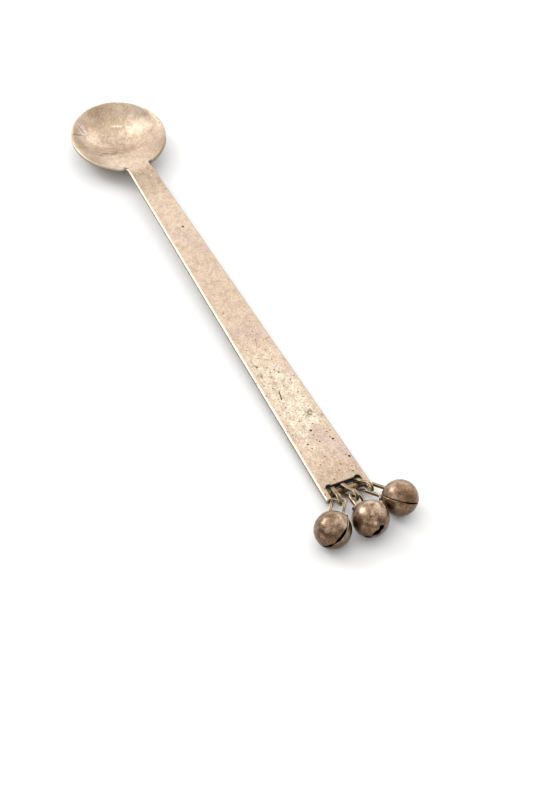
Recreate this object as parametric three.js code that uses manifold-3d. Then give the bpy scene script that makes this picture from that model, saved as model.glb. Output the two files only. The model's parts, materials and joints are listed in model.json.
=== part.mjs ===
// A jam spoon with three small jingle bells.
//
// The spoon is one piece of sheet metal: a shallow round bowl and a flat handle that widens towards
// its end. The end is sawn open into a slot, and a round bar is soldered across the slot between
// the two arms. Three flat wire links ride on the bar. Each link carries a bell by its strap loop.
// A bell is two cups joined along a seam, with a slit that ends in round holes and a loose pellet.
//
// Millimetres. The origin is on the table under the middle of the bowl, on the small flat that the
// bowl stands on. +X runs along the handle to its end, +Y across it and +Z up.
import * as THREE from 'three';
import { mergeVertices } from 'three/addons/utils/BufferGeometryUtils.js';
import Module from 'manifold-3d';

// Bowl
const BOWL_LENGTH = 28.6;
const BOWL_WIDTH = 26;
const BOWL_DEPTH = 5.4;
const RIM_WIDTH = 0.5;
const DISH_POWER = 2.2;
const FOOT_CUT = 0.14;

// Handle
const SHEET_THICKNESS = 1.5;
const HANDLE_REACH = 144;
const NECK_OVERLAP = 2.2;
const NECK_WIDTH = 6.5;
const END_WIDTH = 12.1;
const SLOT_WIDTH = 9;
const SLOT_DEPTH = 3.9;
const CORNER_HOLE_DIAMETER = 1.5;
const CORNER_HOLE_BITE = 0.45;

// Cross bar
const BAR_DIAMETER = 1.5;
const BAR_TO_SLOT_BACK = 1.95;
const SOLDER_GAP = 0.1;

// Flat wire of the links and the bell loops
const WIRE_WIDTH = 0.9;
const WIRE_THICKNESS = 0.45;
const LINK_PLAY = 0.35;
const LINK_SLACK = 0.15;
const LINK_OVER_TABLE = 0.1;
const LOOP_OPENING_WIDTH = 2.6;
const LOOP_CORNER = 0.45;
const LOOP_STAND = 3.8;
const LOOP_SEAT_GAP = 0.3;

// Bells
const BELL_DIAMETER = 9.2;
const BELL_WALL = 0.4;
const SEAM_GAP = 0.3;
const SLIT_WIDTH = 0.7;
const SLIT_SPAN = 100;
const SLIT_HOLE_DIAMETER = 1.5;
const PELLET_DIAMETER = 3;
const PELLET_CLEARANCE = 0.3;
const BELL_OVER_TABLE = 0.02;

// How each link and bell lies on the table: the link's place along the bar and its length between
// the bar and the loop in millimetres, and its turns in degrees. The slit's middle is turned away
// from the point opposite the loop, as the bells were put together by eye.
const CHAINS = [
  {
    side: 'left', across: -3.3, reach: 7.2,
    linkYaw: -12, linkRise: 36, bellYaw: -36, bellRoll: 39, slitTurn: 31, loopRoll: 10,
  },
  {
    side: 'middle', across: -0.6, reach: 5.3,
    linkYaw: 4, linkRise: 28, bellYaw: 0, bellRoll: 43, slitTurn: -50, loopRoll: -20,
  },
  {
    side: 'right', across: 3.3, reach: 4,
    linkYaw: 13, linkRise: 30, bellYaw: 35, bellRoll: -37, slitTurn: -10, loopRoll: -8,
  },
];

// Fineness of the round faces
const BOWL_SIDES = 48;
const DISH_STEPS = 9;
const CUP_SIDES = 28;
const CUP_STEPS = 7;
const WIRE_STEPS = 6;
const BAR_SIDES = 20;
const PELLET_SIDES = 14;
const PELLET_RINGS = 9;

// Room that a cutting shape keeps beyond what it cuts
const CUT_ROOM = 2;

const FINISHES = {
  spoon: { color: 0xcdb9a0, roughness: 0.42, metalness: 0.9 },
  bar: { color: 0x9a8d66, roughness: 0.5, metalness: 0.85 },
  wire: { color: 0xa5946c, roughness: 0.48, metalness: 0.85 },
  bell: { color: 0x8f7358, roughness: 0.4, metalness: 0.9 },
  pellet: { color: 0x6f6a64, roughness: 0.5, metalness: 0.8 },
};

const wasm = await Module();
wasm.setup();

const radians = THREE.MathUtils.degToRad;

// A closed geometry as a solid that can be joined and cut
function solidOf(geometry) {
  geometry.deleteAttribute('normal');
  geometry.deleteAttribute('uv');
  const merged = mergeVertices(geometry, 1e-4);
  const corners = merged.index.array;
  const faces = [];
  for (let i = 0; i < corners.length; i += 3) {
    const [a, b, c] = corners.slice(i, i + 3);
    if (a !== b && b !== c && c !== a) faces.push(a, b, c);
  }
  return new wasm.Manifold(new wasm.Mesh({
    numProp: 3,
    vertProperties: new Float32Array(merged.attributes.position.array),
    triVerts: new Uint32Array(faces),
  }));
}

function geometryOf(solid) {
  const mesh = solid.getMesh();
  const geometry = new THREE.BufferGeometry();
  geometry.setAttribute('position', new THREE.BufferAttribute(mesh.vertProperties, 3));
  geometry.setIndex(new THREE.BufferAttribute(mesh.triVerts, 1));
  geometry.computeVertexNormals();
  return geometry;
}

function named(name, geometry, finish) {
  const mesh = new THREE.Mesh(geometry, new THREE.MeshStandardMaterial(FINISHES[finish]));
  mesh.name = name;
  return mesh;
}

// A profile of (radius, height) points turned about the Z axis
function turned(profile, sides) {
  return new THREE.LatheGeometry(profile, sides).rotateX(Math.PI / 2);
}

// A flat outline drawn in X and Z, with its thickness spread evenly to both sides along Y
function plateAcrossY(outline, thickness) {
  const settings = { depth: thickness, bevelEnabled: false, curveSegments: WIRE_STEPS };
  return new THREE.ExtrudeGeometry(outline, settings).translate(0, 0, -thickness / 2).rotateX(Math.PI / 2);
}

// A flat outline drawn in X and Y, with its thickness spread evenly to both sides along Z
function plateAcrossZ(outline, thickness) {
  const settings = { depth: thickness, bevelEnabled: false, curveSegments: WIRE_STEPS };
  return new THREE.ExtrudeGeometry(outline, settings).translate(0, 0, -thickness / 2);
}

// Points of the dished bowl from its middle out to the rim
function dishCurve(radius, depth) {
  const points = [];
  for (let step = 0; step <= DISH_STEPS; step += 1) {
    const share = step / DISH_STEPS;
    points.push(new THREE.Vector2(radius * share, -depth * (1 - share ** DISH_POWER)));
  }
  return points;
}

// Places that follow from the sizes
const rimRadius = BOWL_WIDTH / 2;
const hollowRadius = rimRadius - RIM_WIDTH;
const bowlStretch = BOWL_LENGTH / BOWL_WIDTH;
const slotBack = HANDLE_REACH - SLOT_DEPTH;
const barReach = slotBack + BAR_TO_SLOT_BACK;
const linkInside = BAR_DIAMETER / 2 + LINK_PLAY;
const linkOutside = linkInside + WIRE_THICKNESS;
const barHeight = linkOutside + LINK_SLACK + LINK_OVER_TABLE;
const rimHeight = BOWL_DEPTH + SHEET_THICKNESS - FOOT_CUT;
const handleDrop = rimHeight - SHEET_THICKNESS / 2 - barHeight;
const handleSlope = Math.asin(handleDrop / barReach);
const bellRadius = BELL_DIAMETER / 2;
const loopReach = LOOP_STAND + bellRadius;

// The spoon lies with its bowl on the table, so the handle slopes down towards its end
const spoon = new THREE.Group();
spoon.position.z = rimHeight;
spoon.rotation.y = handleSlope;
spoon.updateMatrix();

function spoonBody() {
  const outside = dishCurve(rimRadius, BOWL_DEPTH + SHEET_THICKNESS);
  const inside = dishCurve(hollowRadius, BOWL_DEPTH);
  const bowl = turned([...outside, ...inside.slice().reverse()], BOWL_SIDES).scale(bowlStretch, 1, 1);
  const lid = [new THREE.Vector2(hollowRadius, CUT_ROOM), new THREE.Vector2(0, CUT_ROOM)];
  const hollow = turned([...inside, ...lid], BOWL_SIDES).scale(bowlStretch, 1, 1);

  const neck = BOWL_LENGTH / 2 - NECK_OVERLAP;
  const outline = new THREE.Shape();
  outline.moveTo(neck, -NECK_WIDTH / 2);
  outline.lineTo(HANDLE_REACH, -END_WIDTH / 2);
  outline.lineTo(HANDLE_REACH, END_WIDTH / 2);
  outline.lineTo(neck, NECK_WIDTH / 2);
  const handle = plateAcrossZ(outline, SHEET_THICKNESS).translate(0, 0, -SHEET_THICKNESS / 2);

  const slot = new THREE.BoxGeometry(SLOT_DEPTH + CUT_ROOM, SLOT_WIDTH, SHEET_THICKNESS + CUT_ROOM);
  slot.translate(slotBack + (SLOT_DEPTH + CUT_ROOM) / 2, 0, -SHEET_THICKNESS / 2);

  const table = new THREE.BoxGeometry(BOWL_LENGTH, BOWL_WIDTH, CUT_ROOM).translate(0, 0, -CUT_ROOM / 2);
  table.applyMatrix4(spoon.matrix.clone().invert());

  let body = solidOf(bowl).add(solidOf(handle)).subtract(solidOf(hollow)).subtract(solidOf(slot));
  for (const side of [-1, 1]) {
    const drill = new THREE.CylinderGeometry(
      CORNER_HOLE_DIAMETER / 2, CORNER_HOLE_DIAMETER / 2, SHEET_THICKNESS + CUT_ROOM, BAR_SIDES);
    drill.rotateX(Math.PI / 2);
    const inset = CORNER_HOLE_DIAMETER / 2 - CORNER_HOLE_BITE;
    const across = SLOT_WIDTH / 2 - CORNER_HOLE_DIAMETER / 2;
    drill.translate(slotBack + inset, side * across, -SHEET_THICKNESS / 2);
    body = body.subtract(solidOf(drill));
  }
  return named('spoon_body', geometryOf(body.subtract(solidOf(table))), 'spoon');
}

function crossBar() {
  const length = SLOT_WIDTH - 2 * SOLDER_GAP;
  const bar = new THREE.CylinderGeometry(BAR_DIAMETER / 2, BAR_DIAMETER / 2, length, BAR_SIDES);
  bar.translate(barReach, 0, -SHEET_THICKNESS / 2);
  return named('cross_bar', bar, 'bar');
}

// A long ring of flat wire, from the bar at the origin to the bell's loop at +X
function link(side, reach) {
  const ring = (path, radius) => {
    path.absarc(reach, 0, radius, -Math.PI / 2, Math.PI / 2, false);
    path.absarc(-LINK_SLACK, 0, radius, Math.PI / 2, Math.PI * 1.5, false);
    return path;
  };
  const outline = ring(new THREE.Shape(), linkOutside);
  outline.holes.push(ring(new THREE.Path(), linkInside));
  return named(`link_${side}`, plateAcrossY(outline, WIRE_WIDTH), 'wire');
}

// One cup of a bell. Its seam lies in the X and Y plane and its slit is centred on +X.
function bellCup() {
  const innerRadius = bellRadius - BELL_WALL;
  const profile = [];
  const arc = (radius) => {
    const points = [];
    const seam = Math.asin(SEAM_GAP / 2 / radius);
    for (let step = 0; step <= CUP_STEPS; step += 1) {
      const angle = THREE.MathUtils.lerp(seam, Math.PI / 2, step / CUP_STEPS);
      points.push(new THREE.Vector2(radius * Math.cos(angle), radius * Math.sin(angle)));
    }
    points[CUP_STEPS].x = 0;
    return points;
  };
  profile.push(...arc(innerRadius).reverse(), ...arc(bellRadius));
  let cup = solidOf(turned(profile, CUP_SIDES));

  const halfSpan = radians(SLIT_SPAN / 2);
  const sector = new THREE.Shape();
  sector.absarc(0, 0, bellRadius + CUT_ROOM, -halfSpan, halfSpan, false);
  sector.absarc(0, 0, innerRadius - BELL_WALL, halfSpan, -halfSpan, true);
  cup = cup.subtract(solidOf(plateAcrossZ(sector, SLIT_WIDTH)));
  for (const end of [-1, 1]) {
    const drill = new THREE.CylinderGeometry(
      SLIT_HOLE_DIAMETER / 2, SLIT_HOLE_DIAMETER / 2, BELL_WALL + 2 * CUT_ROOM, BAR_SIDES);
    drill.rotateZ(Math.PI / 2).translate(bellRadius, 0, 0).rotateZ(end * halfSpan);
    cup = cup.subtract(solidOf(drill));
  }
  return geometryOf(cup);
}

// A strap bent into an arch. Its bar is at the origin and its feet stand on the bell at +X.
function bellLoop() {
  const arch = (path, halfWidth, top, corner) => {
    path.moveTo(loopReach, -halfWidth);
    path.lineTo(top + corner, -halfWidth);
    path.absarc(top + corner, -halfWidth + corner, corner, -Math.PI / 2, -Math.PI, true);
    path.lineTo(top, halfWidth - corner);
    path.absarc(top + corner, halfWidth - corner, corner, Math.PI, Math.PI / 2, true);
    path.lineTo(loopReach, halfWidth);
    return path;
  };
  const inner = LOOP_OPENING_WIDTH / 2;
  const outer = inner + WIRE_THICKNESS;
  const whole = arch(new THREE.Shape(), outer, -WIRE_THICKNESS / 2, LOOP_CORNER + WIRE_THICKNESS);
  const opening = arch(new THREE.Shape(), inner, WIRE_THICKNESS / 2, LOOP_CORNER);
  const strap = solidOf(plateAcrossZ(whole, WIRE_WIDTH));
  const hole = solidOf(plateAcrossZ(opening, WIRE_WIDTH + CUT_ROOM));
  const ball = new THREE.SphereGeometry(bellRadius + LOOP_SEAT_GAP, CUP_SIDES, CUP_SIDES / 2);
  return geometryOf(strap.subtract(hole).subtract(solidOf(ball.translate(loopReach, 0, 0))));
}

function pellet() {
  return new THREE.SphereGeometry(PELLET_DIAMETER / 2, PELLET_SIDES, PELLET_RINGS);
}

// A link on the bar with its bell, lying on the table
function chain({ side, across, reach, linkYaw, linkRise, bellYaw, bellRoll, slitTurn, loopRoll }) {
  const pieces = new THREE.Group();

  const swing = new THREE.Group();
  swing.position.set(barReach, across, -SHEET_THICKNESS / 2).applyMatrix4(spoon.matrix);
  swing.rotation.y = -radians(linkRise);
  const turn = new THREE.Group();
  turn.rotation.z = radians(linkYaw);
  turn.add(link(side, reach));
  swing.add(turn);
  pieces.add(swing);

  swing.updateWorldMatrix(true, true);
  const hang = new THREE.Vector3(reach, 0, 0).applyMatrix4(turn.matrixWorld);
  const droop = Math.asin((hang.z - bellRadius - BELL_OVER_TABLE) / loopReach);
  const bell = new THREE.Group();
  bell.position.copy(hang);
  bell.rotation.set(0, droop, radians(bellYaw), 'ZYX');

  const loop = named(`bell_${side}_loop`, bellLoop(), 'wire');
  loop.rotation.x = radians(loopRoll);
  bell.add(loop);
  const cups = new THREE.Group();
  cups.position.x = loopReach;
  cups.rotation.set(radians(bellRoll), 0, radians(slitTurn), 'XYZ');
  const upper = named(`bell_${side}_upper_cup`, bellCup(), 'bell');
  const lower = named(`bell_${side}_lower_cup`, bellCup(), 'bell');
  lower.rotation.x = Math.PI;
  cups.add(upper, lower);
  bell.add(cups);
  pieces.add(bell);

  bell.updateWorldMatrix(true, true);
  const ball = named(`bell_${side}_pellet`, pellet(), 'pellet');
  ball.position.setFromMatrixPosition(cups.matrixWorld);
  ball.position.z -= bellRadius - BELL_WALL - PELLET_CLEARANCE - PELLET_DIAMETER / 2;
  pieces.add(ball);
  return pieces;
}

spoon.add(spoonBody(), crossBar());
const jamSpoon = new THREE.Group();
jamSpoon.name = 'jam_spoon';
jamSpoon.add(spoon, ...CHAINS.map(chain));

export default jamSpoon;
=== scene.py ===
# %% [markdown]
# # A jam spoon with three jingle bells
#
# The spoon is one piece of sheet metal: a shallow round bowl and a flat handle that widens to a
# slotted end. A bar across the slot carries three flat wire links, and each link carries a bell.
# This lesson builds the looks of those pieces around a finished mechanical model, which gives the
# sizes, the places and the hinges. Nothing here moves or resizes that model.

# %% Load the frame
import json
from functools import reduce
from math import asin, atan2, cos, pi, radians, sin, sqrt

import bmesh
import bpy
import numpy as np
from mathutils import Euler, Matrix, Vector
from mathutils.geometry import delaunay_2d_cdt


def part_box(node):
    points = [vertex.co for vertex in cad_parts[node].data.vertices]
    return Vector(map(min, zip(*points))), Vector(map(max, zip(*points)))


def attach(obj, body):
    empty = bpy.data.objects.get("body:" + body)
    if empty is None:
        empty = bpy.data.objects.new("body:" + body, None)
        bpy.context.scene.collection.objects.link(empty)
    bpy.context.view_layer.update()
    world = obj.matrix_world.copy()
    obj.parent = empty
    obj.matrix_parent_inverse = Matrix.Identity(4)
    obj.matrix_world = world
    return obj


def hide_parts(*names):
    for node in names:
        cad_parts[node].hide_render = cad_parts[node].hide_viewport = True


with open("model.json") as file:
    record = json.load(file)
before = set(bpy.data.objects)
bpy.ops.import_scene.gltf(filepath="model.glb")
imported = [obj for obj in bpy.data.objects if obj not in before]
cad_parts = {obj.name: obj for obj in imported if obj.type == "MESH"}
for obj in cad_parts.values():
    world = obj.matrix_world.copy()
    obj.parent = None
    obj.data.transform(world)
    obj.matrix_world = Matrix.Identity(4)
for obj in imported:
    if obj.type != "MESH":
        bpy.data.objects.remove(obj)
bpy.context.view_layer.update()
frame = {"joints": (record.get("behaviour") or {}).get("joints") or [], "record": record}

# %% [markdown]
# ## Where everything is
#
# The frame works in metres and this script thinks in millimetres, so a length is multiplied by `MM`
# when it goes into a mesh or a tree. The handle's flat face gives the slope of the spoon, and the
# hinges give the places of the links and the bells.

# %% Places from the frame
MM = 0.001
SIDES = ("left", "middle", "right")

mounts = {mount["name"]: mount for mount in frame["record"]["mounts"]}
joints = {joint["name"]: joint for joint in frame["joints"]}


def place_of(joint_name):
    return Vector(joints[joint_name]["pos_m"]) / MM


face_point = Vector(mounts["handle_face"]["pos_m"]) / MM
face_normal = Vector(mounts["handle_face"]["axis"]).normalized()
slope = asin(face_normal.x)
rim_height = face_point.dot(face_normal) / face_normal.z
spoon_to_table = Matrix.Translation((0, 0, rim_height)) @ Matrix.Rotation(slope, 4, "Y")
print(f"rim {rim_height:.2f} mm over the table, handle sloping {slope / radians(1):.2f} degrees")

# %% [markdown]
# ## Sums that become nodes
#
# Geometry and shader trees are full of arithmetic. Wiring it by hand hides the formula, so one
# small class wraps a socket and lets Python's own operators add the Math nodes. The method `node`
# adds any other kind of node: its settings first, then the values or links of its sockets.


# %% The wire class
class Wire:
    def __init__(self, tree, socket=None):
        self.tree = tree
        self.socket = socket

    def node(self, kind, settings=None, sockets=None, output=0):
        made = self.tree.nodes.new(kind)
        for name, value in (settings or {}).items():
            setattr(made, name, value)
        for name, value in (sockets or {}).items():
            if isinstance(value, Wire):
                self.tree.links.new(value.socket, made.inputs[name])
            else:
                made.inputs[name].default_value = value
        return Wire(self.tree, made.outputs[output] if len(made.outputs) else None)

    def out(self, name):
        return Wire(self.tree, self.socket.node.outputs[name])

    def math(self, operation, *others):
        sockets = dict(enumerate((self, *others)))
        return self.node("ShaderNodeMath", {"operation": operation}, sockets)

    def __add__(self, other):
        return self.math("ADD", other)

    def __sub__(self, other):
        return self.math("SUBTRACT", other)

    def __rsub__(self, other):
        return self.node("ShaderNodeMath", {"operation": "SUBTRACT"}, {0: other, 1: self})

    def __mul__(self, other):
        return self.math("MULTIPLY", other)

    def __truediv__(self, other):
        return self.math("DIVIDE", other)

    def __pow__(self, other):
        return self.math("POWER", other)

    __radd__ = __add__
    __rmul__ = __mul__

    def most(self, other):
        return self.math("MAXIMUM", other)

    def least(self, other):
        return self.math("MINIMUM", other)

    def step(self, low, high, start=0.0, end=1.0):
        """Rises smoothly from start to end as the value goes from low to high."""
        sockets = {"Value": self, "From Min": low, "From Max": high, "To Min": start, "To Max": end}
        return self.node("ShaderNodeMapRange", {"interpolation_type": "SMOOTHSTEP"}, sockets)

    def axes(self):
        parts = self.node("ShaderNodeSeparateXYZ", None, {0: self})
        return [parts.out(axis) for axis in "XYZ"]

    def point(self, x, y, z):
        return self.node("ShaderNodeCombineXYZ", None, {0: x, 1: y, 2: z})

    def vector(self, operation, *others, output=0):
        sockets = dict(enumerate((self, *others)))
        return self.node("ShaderNodeVectorMath", {"operation": operation}, sockets, output)

    def scaled(self, share):
        return self.node("ShaderNodeVectorMath", {"operation": "SCALE"}, {0: self, "Scale": share})

    def noise(self, scale, detail=2.0, roughness=0.5):
        sockets = {"Vector": self, "Scale": scale, "Detail": detail, "Roughness": roughness}
        return self.node("ShaderNodeTexNoise", None, sockets)


# %% [markdown]
# ## From numbers to pieces
#
# `in_scene` turns any data into an object. `mesh_piece` closes a mesh: it merges doubles, turns the
# faces outwards and shades them smooth. `grown` hangs a Geometry Nodes tree on an object, sets the
# tree's inputs by their identifiers, and keeps the result as a plain mesh with no modifier left.

# %% Helpers for meshes and trees
FLOAT = "NodeSocketFloat"
VECTOR = "NodeSocketVector"
GEOMETRY = "NodeSocketGeometry"
MATERIAL = "NodeSocketMaterial"


def in_scene(name, data):
    made = bpy.data.objects.new(name, data)
    bpy.context.scene.collection.objects.link(made)
    return made


def mesh_piece(name, mesh, weld=0.0005 * MM):
    work = bmesh.new()
    work.from_mesh(mesh)
    bmesh.ops.remove_doubles(work, verts=work.verts, dist=weld)
    bmesh.ops.dissolve_degenerate(work, edges=work.edges, dist=weld / 10)
    bmesh.ops.recalc_face_normals(work, faces=work.faces)
    open_edges = sum(not edge.is_manifold for edge in work.edges)
    work.to_mesh(mesh)
    work.free()
    mesh.polygons.foreach_set("use_smooth", [True] * len(mesh.polygons))
    piece = in_scene(name, mesh)
    triangles = sum(len(face.vertices) - 2 for face in mesh.polygons)
    print(f"{name}: {triangles} triangles, {open_edges} open edges")
    return piece


def mesh_from(points_mm, faces):
    mesh = bpy.data.meshes.new("shape")
    mesh.from_pydata([tuple(point) for point in np.asarray(points_mm) * MM], [], faces)
    return mesh


def start_tree(name, inputs):
    """A geometry tree with named inputs, and a wire for each of them."""
    tree = bpy.data.node_groups.new(name, "GeometryNodeTree")
    tree.interface.new_socket("Geometry", in_out="OUTPUT", socket_type=GEOMETRY)
    for label, kind in inputs.items():
        tree.interface.new_socket(label, in_out="INPUT", socket_type=kind)
    group = tree.nodes.new("NodeGroupInput")
    return Wire(tree), {label: Wire(tree, group.outputs[label]) for label in inputs}


def moved(shape, position):
    return shape.node("GeometryNodeSetPosition", None, {"Geometry": shape, "Position": position})


def marked(shape, name, value):
    """The shape with a named number on each of its points."""
    settings = {"data_type": "FLOAT", "domain": "POINT"}
    sockets = {"Geometry": shape, "Name": name, "Value": value}
    return shape.node("GeometryNodeStoreNamedAttribute", settings, sockets)


def end_tree(shape, material):
    """Every tree ends the same way, with a material on real geometry."""
    shape = shape.node("GeometryNodeRealizeInstances", None, {0: shape})
    shape = shape.node("GeometryNodeSetMaterial", None, {"Geometry": shape, "Material": material})
    shape.node("NodeGroupOutput", None, {0: shape})
    return shape.tree


def grown(name, data, tree, values):
    seed = in_scene("seed", data)
    modifier = seed.modifiers.new("tree", "NODES")
    modifier.node_group = tree
    for item in tree.interface.items_tree:
        if item.name in values:
            modifier[item.identifier] = values[item.name]
    graph = bpy.context.evaluated_depsgraph_get()
    made = seed.evaluated_get(graph)
    mesh = bpy.data.meshes.new_from_object(made, preserve_all_data_layers=True, depsgraph=graph)
    bpy.data.objects.remove(seed)
    mesh.name = name
    return mesh_piece(name, mesh)


# %% [markdown]
# ## The finishes
#
# Nothing on this spoon is one flat colour, and all of it is procedural: noise at several scales, in
# millimetres on the object's own coordinates, is mixed into colour, roughness and a fine bump.


# %% Helpers for materials
def empty_material(name):
    material = bpy.data.materials.new(name)
    material.use_nodes = True
    material.node_tree.nodes.clear()
    return material, Wire(material.node_tree)


def start_finish(name):
    """A new material, and a wire with the place in millimetres."""
    material, wire = empty_material(name)
    return material, wire.node("ShaderNodeTexCoord", output="Object").scaled(1 / MM)


def painted(ground, *layers):
    """Paints colours over a ground, each through its own mask."""
    colour = (*ground, 1.0)
    for mask, paint in layers:
        sockets = {"Factor": mask, 6: colour, 7: (*paint, 1.0)}
        colour = mask.node("ShaderNodeMix", {"data_type": "RGBA"}, sockets, output=2)
    return colour


def end_finish(colour, roughness, height, bump_depth):
    """The shader that every metal here shares. The bump's depth is in millimetres."""
    bump = height.node("ShaderNodeBump", None, {"Height": height, "Distance": bump_depth * MM})
    sockets = {"Base Color": colour, "Roughness": roughness, "Metallic": 1.0, "Normal": bump}
    shader = colour.node("ShaderNodeBsdfPrincipled", None, sockets)
    colour.node("ShaderNodeOutputMaterial", None, {"Surface": shader})


def attribute(wire, name):
    return wire.node("ShaderNodeAttribute", {"attribute_name": name}, output="Fac")


def band(value, start, full, fade, end):
    """Rises to 1 where it is full, and falls again from the fade to the end."""
    return value.step(start, full) * value.step(end, fade)


# %% [markdown]
# ### Tarnished sheet
#
# Sheet metal that has been handled for decades is brightest where it is rubbed and browner where
# it isn't; the rubbed zone near the end is partly a painted sheen. Broad patches set that first,
# then a finer mottling, then grain smaller than salt. A few pits, smudges and scratches sit where
# the real ones are: each is a disc or a short line, because noise alone never puts a mark where it
# belongs. Three bright lines in the bowl are painted highlights drawn like scratches. A Voronoi
# texture scatters the pinholes between them. A disc has its middle and radius, a scratch its two
# ends, its width and its strength. Painted shade darkens the bowl's walls and underside, a band past
# the neck, the right-hand edge and the recesses of the slot and notches, and a painted highlight
# lightens the left-hand edge.

# %% Marks on the spoon
PITS = (
    (42.2, 1.1, 0.48), (101.2, 1.4, 0.36), (122.2, 0.2, 0.46), (126.8, 3.9, 0.40),
    (126.0, -2.4, 0.36), (126.3, 0.6, 0.28), (133.5, 5.0, 0.47), (138.1, 3.7, 0.28),
    (97.4, -2.7, 0.36), (104.6, 3.0, 0.28),
)
SMUDGES = (
    (-6.0, -7.9, 0.7), (4.6, -7.0, 1.0), (3.2, -5.2, 1.5), (4.4, -3.6, 1.4), (3.2, -2.2, 1.0),
    (116.7, 2.4, 1.7), (100.6, -3.2, 1.2),
)
DARK_SCRATCHES = (
    ((107.3, -1.3), (109.9, -1.8), 0.23, 1.0), ((-8.8, -8.3), (-7.5, -7.6), 0.3, 0.5),
    ((-5.5, -11.2), (-6.4, -8.6), 0.3, 0.5), ((88.4, 1.0), (91.0, 0.2), 0.16, 0.5),
    ((95.0, -3.4), (97.8, -3.0), 0.16, 0.6),
)
# Three short bright lines at the foot of the bowl's far wall are painted highlights, drawn as
# scratches.
BOWL_GLINTS = (
    ((-8.9, 1.2), (-8.5, 2.2), 0.34, 1.0), ((-8.2, 2.8), (-7.7, 3.7), 0.34, 1.0),
    ((-6.6, 4.9), (-6.1, 5.7), 0.34, 0.9),
)


def spots(flat, marks, core):
    """How deep in a round mark each point is, from 0 at the edge to 1 at the core."""
    depths = []
    for *middle, radius in marks:
        away = flat.vector("DISTANCE", (*middle, 0)[:3], output="Value")
        depths.append(away.step(radius, radius * core))
    return reduce(Wire.most, depths)


def scratches(flat, lines):
    """The same for short straight lines of some strength."""
    depths = []
    for first, last, width, strength in lines:
        start = Vector((*first, 0))
        along = Vector((*last, 0)) - start
        reach = flat.vector("SUBTRACT", start)
        share = reach.vector("DOT_PRODUCT", along, output="Value") / along.length_squared
        share = share.least(1.0).most(0.0)
        nearest = reach.point(share * along.x, share * along.y, 0)
        away = reach.vector("DISTANCE", nearest, output="Value")
        depths.append(away.step(width, width * 0.3) * strength)
    return reduce(Wire.most, depths)


def pinholes(flat, cells, radius, share):
    """Dots of one size, in some of the cells of a Voronoi texture."""
    settings = {"voronoi_dimensions": "2D"}
    sockets = {"Vector": flat, "Scale": cells, "Randomness": 1.0}
    texture = flat.node("ShaderNodeTexVoronoi", settings, sockets, output="Distance")
    pick = texture.node("ShaderNodeSeparateColor", None, {0: texture.out("Color")})
    return texture.step(radius * cells, radius * cells * 0.5) * pick.math("LESS_THAN", share)


# %% [markdown]
# The shader reads from the top down. First come the noises, then masks for places on the spoon, and
# last the colours, each painted over the ones before.

# %% Finish of the spoon
PALE_METAL = (0.525, 0.412, 0.318)
WARM_METAL = (0.49, 0.374, 0.278)
PINK_METAL = (0.44, 0.335, 0.29)
CREAM_METAL = (0.72, 0.645, 0.525)
FAR_WALL_SHADE_METAL = (0.42, 0.305, 0.20)
SHADE_AND_GRAIN_BROWN = (0.21, 0.147, 0.095)
SMUDGE_BROWN = (0.12, 0.088, 0.062)
PIT_AND_SHADE_BLACK = (0.03, 0.023, 0.018)
RUBBED_SHEEN_ZONE = (84.0, 104.0, 122.0, 134.0)
NECK_SHADE_ZONE = (11.0, 16.0, 20.0, 34.0)
MIDDLE_ZONE = (26.0, 34.0, 74.0, 92.0)
END_ZONE = (128.0, 141.0)
SPECKLED_ZONE = (70.0, 100.0)
BLUSH_SHIFT = (31.0, 12.0, 5.0)


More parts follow.
